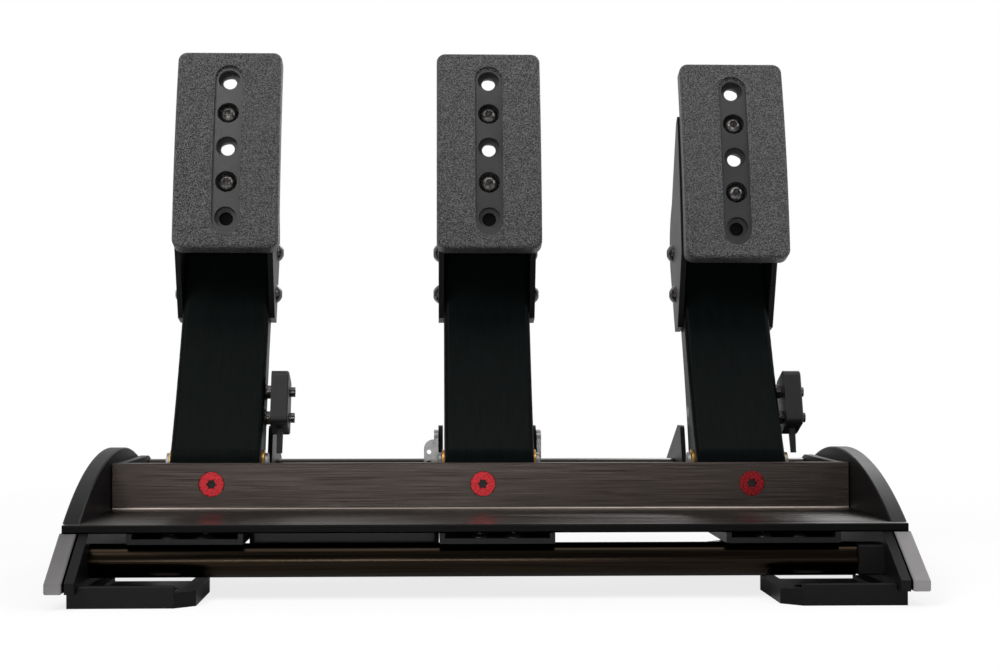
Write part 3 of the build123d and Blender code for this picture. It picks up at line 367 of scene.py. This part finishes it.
def zinc_plated_steel():
    """Bright zinc plate: pale silver with soft cloudy streaks."""
    material, tree, here = new_material("zinc_plated_steel")
    drawn_out = add(tree, "ShaderNodeMapping", {"Vector": here, "Scale": repeats(5.56, 16.7, 5.56)})
    cloud = add(tree, "ShaderNodeTexNoise", {"Vector": drawn_out, "Scale": 1.0, "Detail": 4.0})
    finish_surface(
        tree,
        coats=[(None, cloud, "#5f5f5f", "#979795")],
        roughness=(cloud, 0.34, 0.46),
        relief=(cloud, 0.02, 0.3, 0.3),
        inputs={"Metallic": 1.0},
    )
    return material


def drawn_spring_steel():
    """Drawn and tempered wire: grey steel with short scuffs."""
    material, tree, here = new_material("drawn_spring_steel")
    scuffs = add(tree, "ShaderNodeTexNoise", {"Vector": here, "Scale": repeats(1.11), "Detail": 3.0})
    finish_surface(
        tree,
        coats=[(None, scuffs, "#6e6e70", "#9b9b9d")],
        roughness=(scuffs, 0.28, 0.40),
        relief=(scuffs, 0.02, 0.4, 0.1),
        inputs={"Metallic": 1.0},
    )
    return material


def turned_bronze():
    """Turned bearing bronze: warm yellow metal, slightly dulled, with faint lathe rings."""
    material, tree, here = new_material("turned_bronze")
    along_axis = add(tree, "ShaderNodeMapping", {"Vector": here, "Scale": repeats(0.833, 11.1, 11.1)})
    dull = add(tree, "ShaderNodeTexNoise", {"Vector": along_axis, "Scale": 1.0, "Detail": 3.0})
    finish_surface(
        tree,
        coats=[(None, dull, "#a87838", "#c99a55")],
        roughness=(dull, 0.26, 0.38),
        relief=(dull, 0.01, 0.4, 0.2),
        inputs={"Metallic": 1.0},
    )
    return material


def moulded_rubber():
    """A moulded elastomer stack: soft black with a dusty bloom."""
    material, tree, here = new_material("moulded_rubber")
    bloom = add(tree, "ShaderNodeTexNoise", {"Vector": here, "Scale": repeats(4), "Detail": 4.0})
    finish_surface(
        tree,
        coats=[(None, bloom, "#151515", "#222222")],
        roughness=(bloom, 0.62, 0.78),
        relief=(bloom, 0.04, 0.5, 0.4),
        inputs={"IOR": 1.52},
    )
    return material


finishes = {
    "plate_black": anodised_aluminium_satin(),
    "tube_black": anodised_tube_polished(),
    "brushed_black_plate": anodised_aluminium_brushed(),
    "red_screw": anodised_aluminium_red(),
    "arm_lacquer": brushed_arm_black(),
    "bracket_lacquer": powder_coated_steel("powder_coated_brackets", "#0a0a0b", "#121213"),
    "foot_black": powder_coated_steel("powder_coated_feet", "#030303", "#070707"),
    "pad_plastic": moulded_nylon_grained(),
    "case_plastic": moulded_plastic_matt(),
    "dark_screw": blackened_steel(),
    "bright_steel": zinc_plated_steel(),
    "spring_steel": drawn_spring_steel(),
    "bush_brass": turned_bronze(),
    "bumper_rubber": moulded_rubber(),
}

for part in frame["record"]["subparts"]:
    node = frame["nodes"][part["node"]]
    if not node.data.materials:
        node.data.materials.append(None)
    for slot in node.material_slots:
        slot.material = finishes[part["material_slot"]]


# Small hardware that the solids leave out, in millimetres

merge_distance = 0.001


def finish_piece(mesh, name, body, finish):
    """A bmesh in millimetres turned into a piece that rides on a body."""
    bmesh.ops.remove_doubles(mesh, verts=mesh.verts, dist=merge_distance)
    bmesh.ops.recalc_face_normals(mesh, faces=mesh.faces)
    bmesh.ops.scale(mesh, vec=(MM, MM, MM), verts=mesh.verts)
    data = bpy.data.meshes.new(name)
    mesh.to_mesh(data)
    mesh.free()
    piece = bpy.data.objects.new(name, data)
    bpy.context.collection.objects.link(piece)
    data.materials.append(finishes[finish])
    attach(piece, body)
    return piece


heel_screw_head = 12.9
socket_radius, socket_lobes, lobe_share, socket_sides = 2.5, 6, 0.14, 36
socket_floor = 2.35
shade_disc_thickness = 0.2


def make_socket_shade_disc(number, x, z):
    """The shadowed floor of a red screw's six-lobe socket: a dark disc of painted shade."""
    mesh = bmesh.new()
    rim = bmesh.ops.create_circle(
        mesh, segments=socket_sides, radius=socket_radius, cap_ends=True,
    )["verts"]
    for vert in rim:
        lobe = math.cos(socket_lobes * math.atan2(vert.co.y, vert.co.x))
        vert.co *= 1 - lobe_share + lobe_share * lobe
    lid = bmesh.ops.extrude_face_region(mesh, geom=list(mesh.faces))["geom"]
    raised = [part for part in lid if isinstance(part, bmesh.types.BMVert)]
    bmesh.ops.translate(mesh, vec=(0, 0, shade_disc_thickness), verts=raised)
    facing_front = Matrix.Rotation(math.radians(90), 4, "X")
    spot = Matrix.Translation((x, socket_floor, z))
    bmesh.ops.transform(mesh, matrix=spot @ facing_front, verts=mesh.verts)
    finish_piece(mesh, "heel_screw_socket_shade_%d" % number, "base", "case_plastic")


screws_low, screws_high = (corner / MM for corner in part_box("heel_plate_screws"))
screw_spacing = (screws_high.x - screws_low.x - heel_screw_head) / 2
for number, x in enumerate((-screw_spacing, 0, screw_spacing), start=1):
    make_socket_shade_disc(number, x, (screws_low.z + screws_high.z) / 2)


def add_ring(mesh, centre, inner, outer, height, sides, turn):
    """A washer or, with six sides, a nut, round an axis turned from Z."""
    spot = Matrix.Translation(centre) @ turn
    rims = []
    for radius, z in ((inner, 0), (outer, 0), (outer, height), (inner, height)):
        circle = bmesh.ops.create_circle(mesh, segments=sides, radius=radius)["verts"]
        bmesh.ops.transform(mesh, matrix=spot @ Matrix.Translation((0, 0, z)), verts=circle)
        rims.append(circle)
    for first, second in zip(rims, rims[1:] + rims[:1]):
        edges = [e for e in mesh.edges if all(v in first for v in e.verts)]
        edges += [e for e in mesh.edges if all(v in second for v in e.verts)]
        bmesh.ops.bridge_loops(mesh, edges=edges)


sensor_screw_places = ((54.5, 80.9), (59.4, 94.9))
nut_bore, nut_radius, nut_height = 3.05, 4.2, 2.2
washer_radius, washer_height = 4.6, 0.6
washer_sides, nut_sides = 24, 6
nut_gap = 0.1


def make_spacer_nuts(pedal):
    """Hex nuts and washers that lock the sensor housing's screws in the gap beside the arm."""
    mesh = bmesh.new()
    across = Matrix.Rotation(math.radians(90), 4, "Y")
    washer_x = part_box(pedal + "_arm")[1].x / MM + nut_gap
    nut_x = washer_x + washer_height + nut_gap
    for y, z in sensor_screw_places:
        add_ring(mesh, (washer_x, y, z), nut_bore, washer_radius, washer_height, washer_sides, across)
        add_ring(mesh, (nut_x, y, z), nut_bore, nut_radius, nut_height, nut_sides, across)
    finish_piece(mesh, pedal + "_spacer_nuts", pedal + "_pedal", "dark_screw")


make_spacer_nuts("clutch")
make_spacer_nuts("throttle")


# Springs and bumper, which sit between the plunger's collar and the seat, copied onto the base


def make_working_spring(pedal, part, finish):
    """A copy of a spring or bumper on the base, in place of the solid one, which is hidden."""
    mesh = bmesh.new()
    mesh.from_mesh(frame["nodes"][pedal + "_" + part].data)
    bmesh.ops.scale(mesh, vec=(1 / MM, 1 / MM, 1 / MM), verts=mesh.verts)
    for face in mesh.faces:
        face.smooth = True
    piece = finish_piece(mesh, pedal + "_working_" + part, "base", finish)
    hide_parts(pedal + "_" + part)
    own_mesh(piece)


make_working_spring("clutch", "spring", "spring_steel")
make_working_spring("brake", "bumper", "bumper_rubber")
make_working_spring("throttle", "spring", "spring_steel")


# Lights, floor and backdrop

def make_lamp(name, place_m, size_m, watts):
    """A rectangular area lamp that faces the middle of the object."""
    middle = Vector((0, 0, 0.12))
    data = bpy.data.lights.new(name, "AREA")
    data.shape = "RECTANGLE"
    data.size, data.size_y = size_m
    data.energy = watts
    lamp = bpy.data.objects.new(name, data)
    lamp.location = place_m
    lamp.rotation_euler = (middle - Vector(place_m)).to_track_quat("-Z", "Y").to_euler()
    bpy.context.collection.objects.link(lamp)


make_lamp("softbox_left", place_m=(-0.9, -1.1, 1.3), size_m=(0.7, 0.7), watts=16)
make_lamp("softbox_right", place_m=(1.3, -0.5, 1.0), size_m=(0.6, 0.9), watts=6)
make_lamp("softbox_top", place_m=(0, -0.35, 1.5), size_m=(1.4, 0.5), watts=7)
make_lamp("strip_front", place_m=(-0.15, -1.9, 0.13), size_m=(0.6, 0.08), watts=6)
make_lamp("softbox_back", place_m=(0.7, 1.5, 1.1), size_m=(1.0, 0.6), watts=9)


def make_world():
    """A white sweep behind the object, which metal shows too, and a dimmer room in front."""
    sweep_from, sweep_to = -0.6, 0.1
    room_strength = 0.32
    world = bpy.data.worlds.new("white_studio")
    bpy.context.scene.world = world
    world.use_nodes = True
    tree = world.node_tree
    tree.nodes.clear()
    path = add(tree, "ShaderNodeLightPath")
    towards = add(tree, "ShaderNodeTexCoord")
    depth = add(tree, "ShaderNodeSeparateXYZ", {"Vector": towards.outputs["Generated"]})
    sweep = add(tree, "ShaderNodeMapRange", {
        "Value": depth.outputs["Y"], "From Min": sweep_from, "From Max": sweep_to,
    })
    seen = add(tree, "ShaderNodeMath", {
        0: path.outputs["Is Glossy Ray"], 1: sweep,
    }, operation="MULTIPLY")
    for ray in ("Is Camera Ray", "Is Transmission Ray"):
        seen = add(tree, "ShaderNodeMath", {0: seen, 1: path.outputs[ray]}, operation="MAXIMUM")
    room = add(tree, "ShaderNodeBackground", {"Color": linear("#ffffff"), "Strength": room_strength})
    white = add(tree, "ShaderNodeBackground", {"Color": linear("#ffffff"), "Strength": 1.0})
    mix = add(tree, "ShaderNodeMixShader", {0: seen, 1: room, 2: white})
    add(tree, "ShaderNodeOutputWorld", {"Surface": mix})


def make_floor():
    """White paper that keeps the object's shadow close by and is plain white further off."""
    near, far, near_white, floor_half = 0.25, 0.9, 0.8, 30
    material, tree, here = new_material("studio_paper")
    path = add(tree, "ShaderNodeLightPath")
    matt = add(tree, "ShaderNodeBsdfDiffuse", {"Color": linear("#f6f6f6")})
    white = add(tree, "ShaderNodeEmission", {"Color": linear("#ffffff"), "Strength": 1.0})
    distance = add(tree, "ShaderNodeVectorMath", {0: here}, operation="LENGTH")
    whiter = add(tree, "ShaderNodeMapRange", {
        "Value": distance, "From Min": near, "From Max": far, "To Min": near_white,
    })
    share = add(tree, "ShaderNodeMath", {
        0: whiter, 1: path.outputs["Is Camera Ray"],
    }, operation="MULTIPLY")
    mix = add(tree, "ShaderNodeMixShader", {0: share, 1: matt, 2: white})
    add(tree, "ShaderNodeOutputMaterial", {"Surface": mix})
    mesh = bmesh.new()
    bmesh.ops.create_grid(mesh, x_segments=1, y_segments=1, size=floor_half)
    data = bpy.data.meshes.new("floor")
    mesh.to_mesh(data)
    mesh.free()
    floor = bpy.data.objects.new("floor", data)
    bpy.context.collection.objects.link(floor)
    data.materials.append(material)


make_world()
make_floor()
bpy.context.scene.view_settings.view_transform = "Standard"


bpy.context.view_layer.update()
